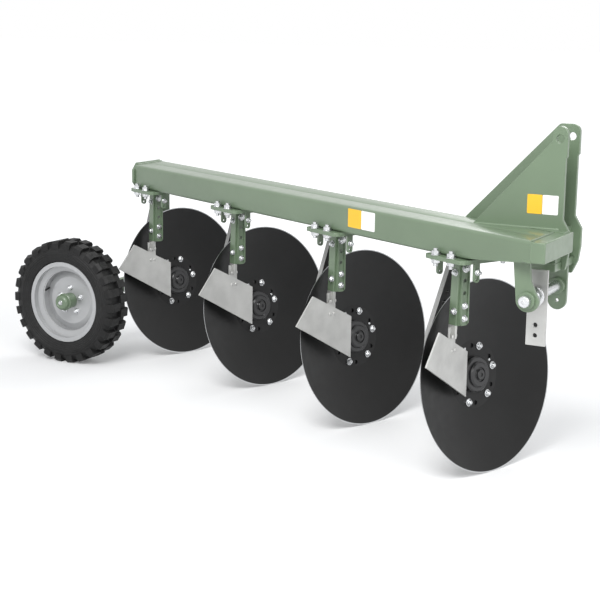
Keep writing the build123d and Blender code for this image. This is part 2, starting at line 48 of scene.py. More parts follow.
# Frames: row points are metres; trav() and along() take millimetres from the floor below the front disc
MM = 1000.0
disc_count = 4
disc_height = 0.3271
beam_turn = 26.5
spin = {k: joints[f"disc_{k}_spin"] for k in range(1, disc_count + 1)}
centre = {k: Vector(spin[k]["pos_m"]) for k in spin}
normal = {k: Vector(spin[k]["axis"]).normalized() for k in spin}
zero = centre[1] - Vector((0, 0, disc_height))
yaw = math.radians(beam_turn)
beam_x = Vector((math.cos(yaw), -math.sin(yaw), 0))
beam_y = Vector((math.sin(yaw), math.cos(yaw), 0))
up = Vector((0, 0, 1))
ahead = Vector((1, 0, 0))
to_left = Vector((0, 1, 0))
wheel_middle = Vector(joints["wheel_spin"]["pos_m"])
wheel_out = Vector((0, -1, 0))
disc_side = up.cross(normal[1]).normalized()


def trav(x, y, z):
    """Row point from millimetres along the travel direction."""
    return zero + Vector((x, y, z)) / MM


def along(x, y, z):
    """Row point from millimetres along the beam."""
    return zero + (beam_x * x + beam_y * y) / MM + up * (z / MM)


# Materials
mottle = (0.3, 0.7)
rough_mottle, rough_swing, rough_finer = (0.25, 0.75), 0.15, 9
skin_depth = 0.0004


def node_material(name):
    mat = bpy.data.materials.new(name)
    mat.use_nodes = True
    tree = mat.node_tree
    shader = tree.nodes["Principled BSDF"]
    return mat, tree, shader


def add(tree, kind, **values):
    node = tree.nodes.new(kind)
    for key, value in values.items():
        setattr(node, key, value)
    return node


def noise(tree, scale, detail=3.0):
    node = add(tree, "ShaderNodeTexNoise")
    node.inputs["Scale"].default_value = scale
    node.inputs["Detail"].default_value = detail
    tree.links.new(add(tree, "ShaderNodeTexCoord").outputs["Object"], node.inputs["Vector"])
    return node.outputs["Fac"]


def ramp(tree, fac, places, values):
    """Two colours or grey values, blended between two places."""
    node = add(tree, "ShaderNodeValToRGB")
    tree.links.new(fac, node.inputs["Fac"])
    for element, place, value in zip(node.color_ramp.elements, places, values):
        element.position = place
        element.color = (*value, 1) if isinstance(value, tuple) else (value, value, value, 1)
    return node.outputs["Color"]


def bump(tree, shader, fac, strength, distance=skin_depth):
    node = add(tree, "ShaderNodeBump")
    node.inputs["Strength"].default_value = strength
    node.inputs["Distance"].default_value = distance
    tree.links.new(fac, node.inputs["Height"])
    tree.links.new(node.outputs["Normal"], shader.inputs["Normal"])


def coated(name, color, rough, spread=0.12, metallic=0.0, coat=0.0, grain=900.0, grain_bump=0.08, patch=4.0):
    """Paint or metal with slightly uneven colour and roughness and a fine skin."""
    mat, tree, shader = node_material(name)
    low = tuple(c * (1 - spread) for c in color)
    high = tuple(min(1.0, c * (1 + spread)) for c in color)
    tree.links.new(ramp(tree, noise(tree, patch, 4.0), mottle, (low, high)), shader.inputs["Base Color"])
    tree.links.new(ramp(tree, noise(tree, patch * rough_finer), rough_mottle,
                        (rough * (1 - rough_swing), min(1.0, rough * (1 + rough_swing)))),
                   shader.inputs["Roughness"])
    shader.inputs["Metallic"].default_value = metallic
    shader.inputs["Coat Weight"].default_value = coat
    shader.inputs["Coat Roughness"].default_value = 0.25
    bump(tree, shader, noise(tree, grain, 2.0), grain_bump)
    return mat


green = coated("paint_green", (0.139, 0.195, 0.123), 0.36, spread=0.06, coat=0.3, grain=420.0,
               grain_bump=0.12)
hub_black = coated("paint_black", (0.012, 0.012, 0.013), 0.34, spread=0.2, coat=0.2)
zinc = coated("zinc", (0.60, 0.61, 0.62), 0.26, spread=0.06, metallic=0.9, patch=30.0)
galvanised = coated("galvanised", (0.50, 0.50, 0.485), 0.42, spread=0.10, metallic=0.55, patch=14.0)
rim_paint = coated("rim_paint", (0.42, 0.425, 0.43), 0.36, spread=0.03, metallic=0.35, coat=0.3)
yellow = coated("plate_yellow", (0.86, 0.50, 0.03), 0.4, spread=0.02)
white = coated("plate_white", (0.88, 0.88, 0.87), 0.4, spread=0.02)


def from_axis(tree, place, axis):
    """Distance of each point from an axis, in metres."""
    coord = add(tree, "ShaderNodeTexCoord").outputs["Object"]
    shift = add(tree, "ShaderNodeVectorMath", operation="SUBTRACT")
    shift.inputs[1].default_value = place
    tree.links.new(coord, shift.inputs[0])
    across = add(tree, "ShaderNodeVectorMath", operation="CROSS_PRODUCT")
    across.inputs[1].default_value = axis
    tree.links.new(shift.outputs["Vector"], across.inputs[0])
    size = add(tree, "ShaderNodeVectorMath", operation="LENGTH")
    tree.links.new(across.outputs["Vector"], size.inputs[0])
    return size.outputs["Value"]


def rings(tree, radius, pitch):
    """Fine rings round an axis, one every pitch metres."""
    scaled = add(tree, "ShaderNodeMath", operation="MULTIPLY")
    scaled.inputs[1].default_value = 2 * math.pi / pitch
    tree.links.new(radius, scaled.inputs[0])
    wave = add(tree, "ShaderNodeMath", operation="SINE")
    tree.links.new(scaled.outputs["Value"], wave.inputs[0])
    return wave.outputs["Value"]


def between(tree, value, start, end, low=0.0, high=1.0):
    """Rises from low to high while a value goes from start to end."""
    node = add(tree, "ShaderNodeMapRange")
    for name, size in (("From Min", start), ("From Max", end), ("To Min", low), ("To Max", high)):
        node.inputs[name].default_value = size
    tree.links.new(value, node.inputs["Value"])
    return node.outputs["Result"]


def mixed_color(tree, fac, first, second):
    """Mix of a socket's colour with a second colour."""
    node = add(tree, "ShaderNodeMix", data_type="RGBA")
    factor, color_a, color_b, color_out = 0, 6, 7, 2
    tree.links.new(fac, node.inputs[factor])
    tree.links.new(first, node.inputs[color_a])
    node.inputs[color_b].default_value = (*second, 1)
    return node.outputs[color_out]


def disc_material(k):
    """Black paint with turning marks and a ground, bare edge, measured from the disc's own axis."""
    mat, tree, shader = node_material(f"disc_{k}")
    ground_from, ground_to = 0.3258, 0.3276
    mark_pitch, mark_depth = 0.0024, 0.0002
    radius = from_axis(tree, centre[k], normal[k])
    pale_edge = between(tree, radius, ground_from, ground_to)
    skin = ramp(tree, noise(tree, 5.0, 4.0), mottle, (0.006, 0.010))
    tree.links.new(mixed_color(tree, pale_edge, skin, (0.60, 0.61, 0.62)), shader.inputs["Base Color"])
    tree.links.new(pale_edge, shader.inputs["Metallic"])
    tree.links.new(ramp(tree, noise(tree, 30.0), mottle, (0.33, 0.42)), shader.inputs["Roughness"])
    shader.inputs["Specular IOR Level"].default_value = 0.28
    bump(tree, shader, rings(tree, radius, mark_pitch), 0.06, mark_depth)
    return mat


def tyre_material():
    """Rubber with moulded rings on the sidewalls."""
    mat, tree, shader = node_material("rubber")
    side_end, tread_start = 0.232, 0.236
    ring_pitch, ring_depth = 0.0085, 0.0012
    radius = from_axis(tree, wheel_middle, wheel_out)
    tree.links.new(ramp(tree, noise(tree, 14.0, 5.0), mottle, (0.007, 0.014)), shader.inputs["Base Color"])
    shader.inputs["Specular IOR Level"].default_value = 0.3
    tree.links.new(ramp(tree, noise(tree, 60.0), mottle, (0.50, 0.66)), shader.inputs["Roughness"])
    below_tread = add(tree, "ShaderNodeMath", operation="SUBTRACT")
    below_tread.inputs[0].default_value = 1.0
    tree.links.new(between(tree, radius, side_end, tread_start), below_tread.inputs[1])
    side = add(tree, "ShaderNodeMath", operation="MULTIPLY")
    tree.links.new(rings(tree, radius, ring_pitch), side.inputs[0])
    tree.links.new(below_tread.outputs["Value"], side.inputs[1])
    bump(tree, shader, side.outputs["Value"], 0.55, ring_depth)
    return mat


def leg_material():
    """Black flat bar whose narrow sides carry a painted highlight, a flat light grey in place of the light that
    catches them.
    """
    mat, tree, shader = node_material("leg_black")
    facing = add(tree, "ShaderNodeVectorMath", operation="DOT_PRODUCT")
    facing.inputs[1].default_value = disc_side
    tree.links.new(add(tree, "ShaderNodeNewGeometry").outputs["True Normal"], facing.inputs[0])
    size = add(tree, "ShaderNodeMath", operation="ABSOLUTE")
    tree.links.new(facing.outputs["Value"], size.inputs[0])
    # Painted highlight: faces that point along disc_side, the narrow sides, take a flat light grey
    pale_edge = between(tree, size.outputs["Value"], 0.93, 0.97)
    skin = ramp(tree, noise(tree, 7.0, 4.0), mottle, (0.014, 0.026))
    tree.links.new(mixed_color(tree, pale_edge, skin, (0.34, 0.34, 0.33)), shader.inputs["Base Color"])
    tree.links.new(ramp(tree, noise(tree, 40.0), mottle, (0.36, 0.46)), shader.inputs["Roughness"])
    bump(tree, shader, noise(tree, 500.0, 2.0), 0.1)
    return mat


rubber = tyre_material()
leg_black = leg_material()
looks = {"green_paint": green, "hub_black": hub_black, "bright_steel": galvanised,
         "rim_silver": rim_paint, "tyre_rubber": rubber}
slots = {s["node"]: s["material_slot"] for s in frame["record"]["subparts"]}
node_edge = 0.0014


def softened(obj, width):
    """Rounds the edges of an object without touching its mesh."""
    edge = obj.modifiers.new("soften", "BEVEL")
    edge.width = width
    edge.segments = 2
    edge.limit_method = "ANGLE"
    edge.angle_limit = math.radians(40)


for name, node in nodes.items():
    if name.startswith("disc_blade_"):
        mat = disc_material(int(name[-1]))
    elif name.startswith("disc_leg_"):
        mat = leg_black
    elif name.startswith("bearing_housing_"):
        mat = hub_black
    else:
        mat = looks[slots[name]]
    node.data.materials.clear()
    node.data.materials.append(mat)
    if name.startswith(("disc_leg_", "headstock_", "scraper_blade_")):
        softened(node, node_edge)


# Mesh helpers
washer_edge, washer_thick = 0.0020, 0.0025
eased, crowned = 0.94, 0.86
head_foot, head_edge = 0.001, 0.0015
thread_share, thread_tip_share, thread_edge = 0.58, 0.48, 0.001
pole, steep = 1e-7, 0.9
hole_sides, round_sides, hex_sides = 24, 24, 6


class Mesh:
    """Collects closed shapes, then becomes one object."""

    def __init__(self):
        self.bm = bmesh.new()

    def lathe(self, origin, axis, profile, sides=32):
        """Revolves (height, radius) points round an axis."""
        axis = axis.normalized()
        side = (axis.cross(up) if abs(axis.z) < steep else axis.cross(ahead)).normalized()
        other = axis.cross(side)
        turns = [2 * math.pi * i / sides for i in range(sides)]
        loops = []
        for height, radius in profile:
            middle = origin + axis * height
            if radius < pole:
                loops.append([self.bm.verts.new(middle)])
            else:
                loops.append([self.bm.verts.new(middle + (side * math.cos(t) + other * math.sin(t)) * radius)
                              for t in turns])
        for low, high in zip(loops, loops[1:]):
            for i in range(sides):
                j = (i + 1) % sides
                if len(low) == 1 and len(high) > 1:
                    self.bm.faces.new((low[0], high[i], high[j]))
                elif len(high) == 1 and len(low) > 1:
                    self.bm.faces.new((low[i], high[0], low[j]))
                elif len(low) > 1:
                    self.bm.faces.new((low[i], low[j], high[j], high[i]))
        for loop in (loops[0], loops[-1]):
            if len(loop) > 1:
                self.bm.faces.new(loop)
        return self

    def rod(self, start, end, radius, sides=32, edge=0.0015):
        """Round bar with softened ends."""
        run = (end - start).length
        return self.lathe(start, end - start, [(0, radius - edge), (edge, radius), (run - edge, radius),
                                               (run, radius - edge)], sides)

    def hex_bolt(self, base, axis, across=0.011, height=0.008, washer=0.0135, thread=0.004):
        """Washer, hexagon head and a short thread end on top."""
        self.lathe(base, axis, [(0, washer), (washer_edge, washer), (washer_thick, washer * eased)],
                   round_sides)
        foot = base + axis.normalized() * washer_thick
        self.lathe(foot, axis, [(0, across * eased), (head_foot, across), (height - head_edge, across),
                                (height, across * crowned)], hex_sides)
        if thread:
            top = foot + axis.normalized() * height
            root, tip = across * thread_share, across * thread_tip_share
            self.lathe(top, axis, [(0, root), (thread - thread_edge, root), (thread, tip)], 16)
        return self

    def dome(self, base, axis, radius=0.009, height=0.006):
        """Round rivet head."""
        steps = 5
        profile = [(0, radius)]
        profile += [(height * math.sin(math.pi / 2 * i / steps), radius * math.cos(math.pi / 2 * i / steps))
                    for i in range(1, steps)]
        profile.append((height, 0.0))
        return self.lathe(base, axis, profile, 20)

    def bead(self, a, b, radius=0.004, step=0.005):
        """Weld bead from a to b with shallow ripples and thin ends."""
        even, odd, end_share = 0.94, 1.10, 0.5
        run = b - a
        count = max(2, int(run.length / step))
        profile = []
        for i in range(count + 1):
            size = radius * (odd if i % 2 else even)
            if i in (0, count):
                size *= end_share
            profile.append((run.length * i / count, size))
        return self.lathe(a, run, profile, 10)

    def block(self, corner, ex, ey, ez):
        """Box from a corner and three edges."""
        v = [self.bm.verts.new(corner + ex * i + ey * j + ez * k)
             for i in (0, 1) for j in (0, 1) for k in (0, 1)]
        for f in ((0, 1, 3, 2), (4, 6, 7, 5), (0, 4, 5, 1), (2, 3, 7, 6), (0, 2, 6, 4), (1, 5, 7, 3)):
            self.bm.faces.new([v[i] for i in f])
        return self

    def plate(self, outline, place, depth, holes=()):
        """Flat plate with round holes; place() turns two lengths in mm into a point."""
        outline = list(outline)
        turned = sum(a[0] * b[1] - b[0] * a[1] for a, b in zip(outline, outline[1:] + outline[:1]))
        loops = [outline if turned > 0 else outline[::-1]]
        for u, v, radius in holes:
            turns = [2 * math.pi * i / hole_sides for i in range(hole_sides)]
            loops.append([(u + radius * math.cos(t), v + radius * math.sin(t)) for t in turns])
        cells = []
        count = 0
        for loop in loops:
            cells.append(list(range(count, count + len(loop))))
            count += len(loop)
        flat = [Vector(p) for loop in loops for p in loop]
        keep_holes, near_zero = 5, 1e-6
        points, _, faces, came_from = delaunay_2d_cdt(flat, [], cells, keep_holes, near_zero)[:4]
        where = {old: new for new, group in enumerate(came_from) for old in group}
        sides = []
        for lift in (Vector(), depth):
            made = [self.bm.verts.new(place(p.x, p.y) + lift) for p in points]
            for face in faces:
                self.bm.faces.new([made[i] for i in face])
            sides.append(made)
        for cell in cells:
            for i, first in enumerate(cell):
                a, b = where[first], where[cell[(i + 1) % len(cell)]]
                if a != b:
                    self.bm.faces.new((sides[0][a], sides[0][b], sides[1][b], sides[1][a]))
        return self

    def cut(self, point, outward):
        """Cuts away what lies outward of a plane and closes the cut."""
        everything = self.bm.verts[:] + self.bm.edges[:] + self.bm.faces[:]
        made = bmesh.ops.bisect_plane(self.bm, geom=everything, plane_co=point, plane_no=outward,
                                      clear_outer=True)
        edges = [e for e in made["geom_cut"] if isinstance(e, bmesh.types.BMEdge)]
        bmesh.ops.edgeloop_fill(self.bm, edges=edges)
        return self

    def done(self, name, material, body="frame", slot=None, smooth=35, bevel=0.0, hides=()):
        """Makes the object, lets it ride on a body and hides the nodes that it stands for."""
        bmesh.ops.recalc_face_normals(self.bm, faces=self.bm.faces[:])
        data = bpy.data.meshes.new(name)
        self.bm.to_mesh(data)
        self.bm.free()
        obj = bpy.data.objects.new(name, data)
        bpy.context.scene.collection.objects.link(obj)
        data.materials.append(material)
        for polygon in data.polygons:
            polygon.use_smooth = True
        data.set_sharp_from_angle(angle=math.radians(smooth))
        if bevel:
            softened(obj, bevel)
        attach(obj, body)
        if hides:
            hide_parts(*hides)


def trav_side(y):
    """Places (x, z) on a plane along the travel direction."""
    return lambda x, z: trav(x, y, z)


def trav_flat(z):
    """Places (x, y) on a level plane, along the travel direction."""
    return lambda x, y: trav(x, y, z)


def arc(x, z, radius, start, end, steps=10):
    """Points on an arc, in degrees."""
    turns = [math.radians(start + (end - start) * i / steps) for i in range(steps + 1)]
    return [(x + radius * math.cos(t), z + radius * math.sin(t)) for t in turns]


def rounded(x0, x1, y0, y1, radius, steps=5):
    """Outline of a rectangle with round corners."""
    return (arc(x1 - radius, y1 - radius, radius, 0, 90, steps)
            + arc(x0 + radius, y1 - radius, radius, 90, 180, steps)
            + arc(x0 + radius, y0 + radius, radius, 180, 270, steps)
            + arc(x1 - radius, y0 + radius, radius, 270, 360, steps))


def span(direction, length):
    """Edge along a direction, from a length in millimetres."""
    return direction * (length / MM)


# Heights and near side of the beam in millimetres, then bevels and weld radii in metres
low, top, near_side = 754.0, 854.0, -200.0
plate_edge, sheet_edge, seam_edge = 0.002, 0.0014, 0.001
weld, thin_weld, thick_weld = 0.004, 0.003, 0.005

# Beam: two tubes welded side by side, square to the travel at both ends and tapered below in front
corner, corner_steps = 12.0, 4
seam, seam_half, seam_depth = -100.0, 6.0, 3.0
taper_from, taper_to, taper_z = 50.0, 379.0, 787.0
beam_back, rear_x = -2300.0, -1977.0
end_x, end_near, end_far, end_depth = 262.0, -348.0, -77.0, 12.0
section = (arc(-corner, top - corner, corner, 0, 90, corner_steps)
           + [(seam + seam_half, top), (seam, top - seam_depth), (seam - seam_half, top)]
           + arc(near_side + corner, top - corner, corner, 90, 180, corner_steps)
           + arc(near_side + corner, low + corner, corner, 180, 270, corner_steps)
           + [(seam - seam_half, low), (seam, low + seam_depth), (seam + seam_half, low)]
           + arc(-corner, low + corner, corner, 270, 360, corner_steps))
# Plane, square to the travel, that cuts the tubes off in front
end_out = up.cross((trav(end_x, end_near, 0) - trav(end_x, end_far, 0)).normalized())
end_cut = trav(end_x, end_near, 0) - end_out * end_depth / MM
beam = Mesh().plate(section, lambda y, z: along(beam_back, y, z), beam_x * (taper_to - beam_back) / MM)
beam.cut(trav(rear_x, 0, 0), -ahead)
beam.cut(along(taper_from, 0, low), beam_x * (taper_z - low) - up * (taper_to - taper_from))
beam.cut(end_cut, end_out)
beam.done("beam_tubes", green, bevel=sheet_edge, hides=("beam",))

# What of the tubes lies past the taper's end, down to the cut in front
nose_reach = 400.0
nose = Mesh().plate(section, lambda y, z: along(taper_to, y, z), span(beam_x, nose_reach))
nose.cut(end_cut, end_out)
nose.cut(along(taper_to, 0, taper_z), -up)
nose.done("beam_nose", green, bevel=sheet_edge)

# Block at the front end, with its near rear corner taken off, and the gusset behind it
front_x, front_back, front_near, front_far = 298.0, 249.0, -350.8, -77.0
front_sink, corner_x, corner_y = 2.0, 256.0, -347.5
Mesh().plate([(front_back, front_far), (front_back, corner_y), (corner_x, front_near), (front_x, front_near),
              (front_x, front_far)], trav_flat(taper_z), span(up, top - front_sink - taper_z),
             ).done("front_cap", green, bevel=0.003, hides=("beam_front_plate",))
gusset_thick, gusset_back, gusset_front, gusset_near = 12.0, 154.0, 284.0, -133.0
Mesh().plate([(gusset_back, front_far), (gusset_front, front_far), (gusset_front, gusset_near)],
             trav_flat(top - gusset_thick), span(up, gusset_thick),
             ).done("front_gusset", green, bevel=seam_edge)

# Eight-sided cap at the rear end
cap_margin, cap_rise, cap_chamfer, cap_thick = 7.0, 8.0, 30.0, 12.0
rear_right = (rear_x * -math.sin(yaw) + near_side) / math.cos(yaw) - cap_margin
rear_left = rear_x * -math.sin(yaw) / math.cos(yaw) + cap_margin
cap_low, cap_top = low - cap_margin, top + cap_rise
Mesh().plate([(rear_right, cap_low + cap_chamfer), (rear_right + cap_chamfer, cap_low),
              (rear_left - cap_chamfer, cap_low), (rear_left, cap_low + cap_chamfer),
              (rear_left, cap_top - cap_chamfer), (rear_left - cap_chamfer, cap_top),
              (rear_right + cap_chamfer, cap_top), (rear_right, cap_top - cap_chamfer)],
             lambda y, z: trav(rear_x, y, z), span(-ahead, cap_thick),
             ).done("rear_cap", green, bevel=plate_edge, hides=("beam_rear_plate",))

# Headstock plates: both have the same front edge, the left one a longer slope behind
sheet = 16.0
mast_right_y, mast_left_y = -77.0, 47.0
base_z, foot_front, foot_back = 727.0, 262.0, 162.0
lug_x, lug_round, lug_middle, lug_hole, lug_hole_z = 239.0, 25.5, 1156.3, 12.85, 1142.0
slope_foot, slope_end, slope_turn = -43.0, 213.5, 47.5
far_foot, far_round, far_x = -119.0, 18.5, 205.0
slope_z = top + (slope_end - slope_foot) * math.tan(math.radians(slope_turn))
front_edge = [(264.5, 1086), (260, 1080), (260, 886), (284, 846), (284, 786), (277, 738)]
near_plate = ([(slope_foot, top), (slope_end, slope_z)] + arc(lug_x, lug_middle, lug_round, 180, 0, 16)
              + front_edge + [(274, base_z), (foot_front, base_z), (foot_front, low), (foot_back, low),
                              (foot_back, top)])
far_plate = ([(far_foot, top)] + arc(far_x, 1163, far_round, 135, 95, 4)
             + arc(lug_x, lug_middle, 25.3, 90, 0, 8) + front_edge
             + [(258, 697), (238, 697), (238, base_z), (foot_front, base_z), (foot_front, low),
                             (far_foot, low)])
for name, y, outline in (("right", mast_right_y, near_plate), ("left", mast_left_y, far_plate)):
    Mesh().plate(outline, trav_side(y), span(to_left, sheet), [(lug_x, lug_hole_z, lug_hole)],
                 ).done(f"mast_{name}", green, bevel=plate_edge, hides=(f"headstock_plate_{name}",))

# Slab under the beam, with a filler between it and the tapered tubes
slab_back, slab_near, slab_far = 168.0, -137.0, 63.0
slab_thick, filler_lift, filler_thick = 27.0, 0.5, 32.5
base = Mesh()
for far, z, thick in ((slab_far, base_z, slab_thick), (mast_right_y, low + filler_lift, filler_thick)):
    base.plate([(slab_back, slab_near), (foot_front, slab_near), (foot_front, far), (slab_back, far)],
               trav_flat(z), span(up, thick))
base.done("base_slab", green, bevel=plate_edge, hides=("base_plate",))

# Hitch cheeks round the cross shaft
pin_x, pin_z, pin_r, pin_play = 227.0, 660.0, 18.0, 0.3
cheek_right_y, cheek_left_y = -290.0, 4.0
right_round, left_round, left_end_z, stay_hole = 38.0, 31.0, 610.0, 6.0
Mesh().plate([(177, taper_z), (229, taper_z), (237, 717)] + arc(pin_x, pin_z, right_round, 0, -180, 20),
             trav_side(cheek_right_y), span(to_left, sheet), [(pin_x, pin_z, pin_r + pin_play)],
             ).done("cheek_right", green, bevel=plate_edge, hides=("hitch_cheek_right",))
Mesh().plate([(196, base_z), (258, base_z), (258, left_end_z)]
             + arc(pin_x, left_end_z, left_round, 0, -180, 16), trav_side(cheek_left_y), span(to_left, sheet),
             [(pin_x, pin_z, pin_r + pin_play), (pin_x, left_end_z, stay_hole)],
             ).done("cheek_left", green, bevel=plate_edge, hides=("hitch_cheek_left",))


def boss(name, y0, y1, outer=0.027, inner=0.0183, edge=0.0015, sides=40):
    """Short tube round the cross shaft."""
    shape = Mesh()
    run = (y1 - y0) / MM
    loops = [(0, inner), (0, outer - edge), (edge, outer), (run - edge, outer), (run, outer - edge),
             (run, inner)]
    turns = [2 * math.pi * i / sides for i in range(sides)]
    made = []
    for height, radius in loops:
        middle = trav(pin_x, y0, pin_z) + to_left * height
        made.append([shape.bm.verts.new(middle + (up * math.cos(t) + ahead * math.sin(t)) * radius)
                     for t in turns])
    for a, b in zip(made, made[1:] + made[:1]):
        for i in range(sides):
            j = (i + 1) % sides
            shape.bm.faces.new((a[i], a[j], b[j], b[i]))
    shape.done(name, green)


boss("boss_right", -302, cheek_right_y)
boss("boss_left", -14, cheek_left_y)

# Cross shaft with a washer, a nut on each side of the bar, a collar at each cheek and a split pin
shaft_right, shaft_left = -326.0, 58.0
bar_y, bar_thick = -204.0, 10.0
shaft = Mesh().rod(trav(pin_x, shaft_right, pin_z), trav(pin_x, shaft_left, pin_z), pin_r / MM, 48, 0.003)
shaft.dome(trav(pin_x, shaft_right, pin_z), -to_left, 0.006, 0.002)
washer_profile = [(0, 0.028), (0.002, 0.031), (0.006, 0.031), (0.008, 0.028)]
right_nut = [(0, 0.0258), (0.001, 0.0275), (0.0095, 0.0275), (0.0098, 0.0258)]
left_nut = [(0, 0.0258), (0.001, 0.0275), (0.010, 0.0275), (0.011, 0.0258)]
for y, profile, sides in ((-222, washer_profile, 40), (-214, right_nut, hex_sides),
                          (bar_y + bar_thick, left_nut, hex_sides)):
    shaft.lathe(trav(pin_x, y, pin_z), to_left, profile, sides)
for y in (-271, 22):
    shaft.rod(trav(pin_x, y, pin_z), trav(pin_x, y + 3, pin_z), 0.024, 40)
split_y, split_half, split_r = 44.0, 24.0, 0.003
shaft.rod(trav(pin_x, split_y, pin_z - split_half), trav(pin_x, split_y, pin_z + split_half), split_r, 12)
shaft.done("hitch_shaft", zinc, hides=("cross_pin",))
bar_back, bar_front, bar_low, bar_high, bar_hole = 198.0, 262.0, 500.0, 744.0, 8.0
Mesh().plate([(bar_back, bar_low), (bar_front, bar_low), (bar_front, bar_high), (bar_back, bar_high)],
             trav_side(bar_y), span(to_left, bar_thick), [(pin_x, 566, bar_hole), (pin_x, 532, bar_hole)],
             ).done("hole_bar", galvanised, bevel=seam_edge, hides=("drop_bar",))

# Stem, sleeve and sloping tube that carry the wheel
axle_x, axle_z, axle_r = -2140.0, 270.0, 0.0175
stem_x, stem_y, stem_low = -2290.0, 40.0, 318.0
stem_half, stem_run, ball_r, ball_steps = 25.0, 510.0, 0.039, 14
foot = along(stem_x, stem_y, stem_low)
carrier = Mesh().rod(trav(axle_x, 441, axle_z), trav(axle_x, 560, axle_z), axle_r)
carrier.lathe(trav(axle_x, 553, axle_z), to_left,
              [(0, 0.043), (0.003, 0.046), (0.067, 0.046), (0.070, 0.043)], 40)
carrier.rod(trav(axle_x, 588, axle_z), foot, 0.034, 40)
turns = [math.pi * i / ball_steps for i in range(1, ball_steps)]
carrier.lathe(foot, up, [(-ball_r, 0.0)] + [(-ball_r * math.cos(t), ball_r * math.sin(t)) for t in turns]
              + [(ball_r, 0.0)], 32)
carrier.block(along(stem_x - stem_half, stem_y - stem_half, stem_low), span(beam_x, 2 * stem_half),
              span(beam_y, 2 * stem_half), span(up, stem_run))
carrier.done("wheel_arm", green, bevel=plate_edge, hides=("wheel_carrier",))
outer, inner, sleeve_z, sleeve_run = 37.0, 25.4, 704.0, 120.0
lug_run, lug_half, lug_height = 105.0, 35.0, 70.0
sleeve = Mesh().block(along(stem_x, lug_half - 65, low), span(beam_x, lug_run), span(beam_y, 2 * lug_half),
                      span(up, lug_height))
sleeve.plate([(-outer, -outer), (outer, -outer), (outer, -inner), (-inner, -inner), (-inner, inner),
              (outer, inner), (outer, outer), (-outer, outer)],
             lambda x, y: along(stem_x + x, stem_y + y, sleeve_z),
             span(up, sleeve_run))
sleeve.block(along(stem_x + inner, stem_y - inner, sleeve_z), beam_x * (outer - inner) / MM,
             beam_y * 2 * inner / MM, span(up, sleeve_run))
sleeve.done("stem_clamp", green, bevel=0.0015, hides=("stem_sleeve",))
clamps = Mesh()
for z in (734, 790):
    clamps.hex_bolt(along(stem_x, stem_y + outer, z), beam_y, 0.012, 0.010)
clamps.done("stem_bolts", zinc)

# One bracket with its hanger, scraper arm and hub for each disc
disc_pitch, disc_flat = 675.0, 0.0614
clamp_z, clamp_thick, clamp_round = 740.0, 13.8, 20.0
clamp_back, clamp_front, clamp_near, clamp_far = -84.0, 105.0, -228.0, 28.0
ear_near, ear_far, ear_thick, ear_z, ear_hole = -171.0, -149.0, 10.0, 689.0, 5.0
ear_mid, ear_round = -160.0, 11.0
hanger_low, hanger_near, hanger_far, hanger_face = 523.0, -160.0, -136.0, 30.0
hanger_wall, hanger_hole, hole_y = 6.0, 6.5, -148.0
bolt_half, bolt_near, bolt_far = 38.0, -214.0, 14.0
arm_y, arm_thick, arm_head, arm_end, tongue_end = -174.0, 8.0, 740.0, 523.0, 478.0
blade_x, blade_y, blade_z = 22.0, -180.0, 327.1
front_turn, other_turn = 112.0, 101.0
stud_count, stud_ring, stud_phase = 6, 0.099, -21.0
disc_yaw = math.radians(7.1)
face = -disc_flat
hub_profile = [
    (face + 0.033, 0.0), (face + 0.033, 0.006), (face + 0.036, 0.007), (face + 0.036, 0.016),
    (face + 0.034, 0.018), (face + 0.028, 0.018), (face + 0.026, 0.020), (face + 0.026, 0.024),
    (face + 0.030, 0.026), (face + 0.030, 0.039), (face + 0.025, 0.044), (face + 0.020, 0.044),
    (face + 0.020, 0.057), (face + 0.015, 0.062), (face, 0.062), (face, 0.0398), (face - 0.0065, 0.0398),
    (face - 0.0065, 0.115), (face - 0.020, 0.115), (face - 0.020, 0.066), (face - 0.032, 0.066),
    (face - 0.032, 0.028), (face - 0.102, 0.028), (face - 0.102, 0.0)]


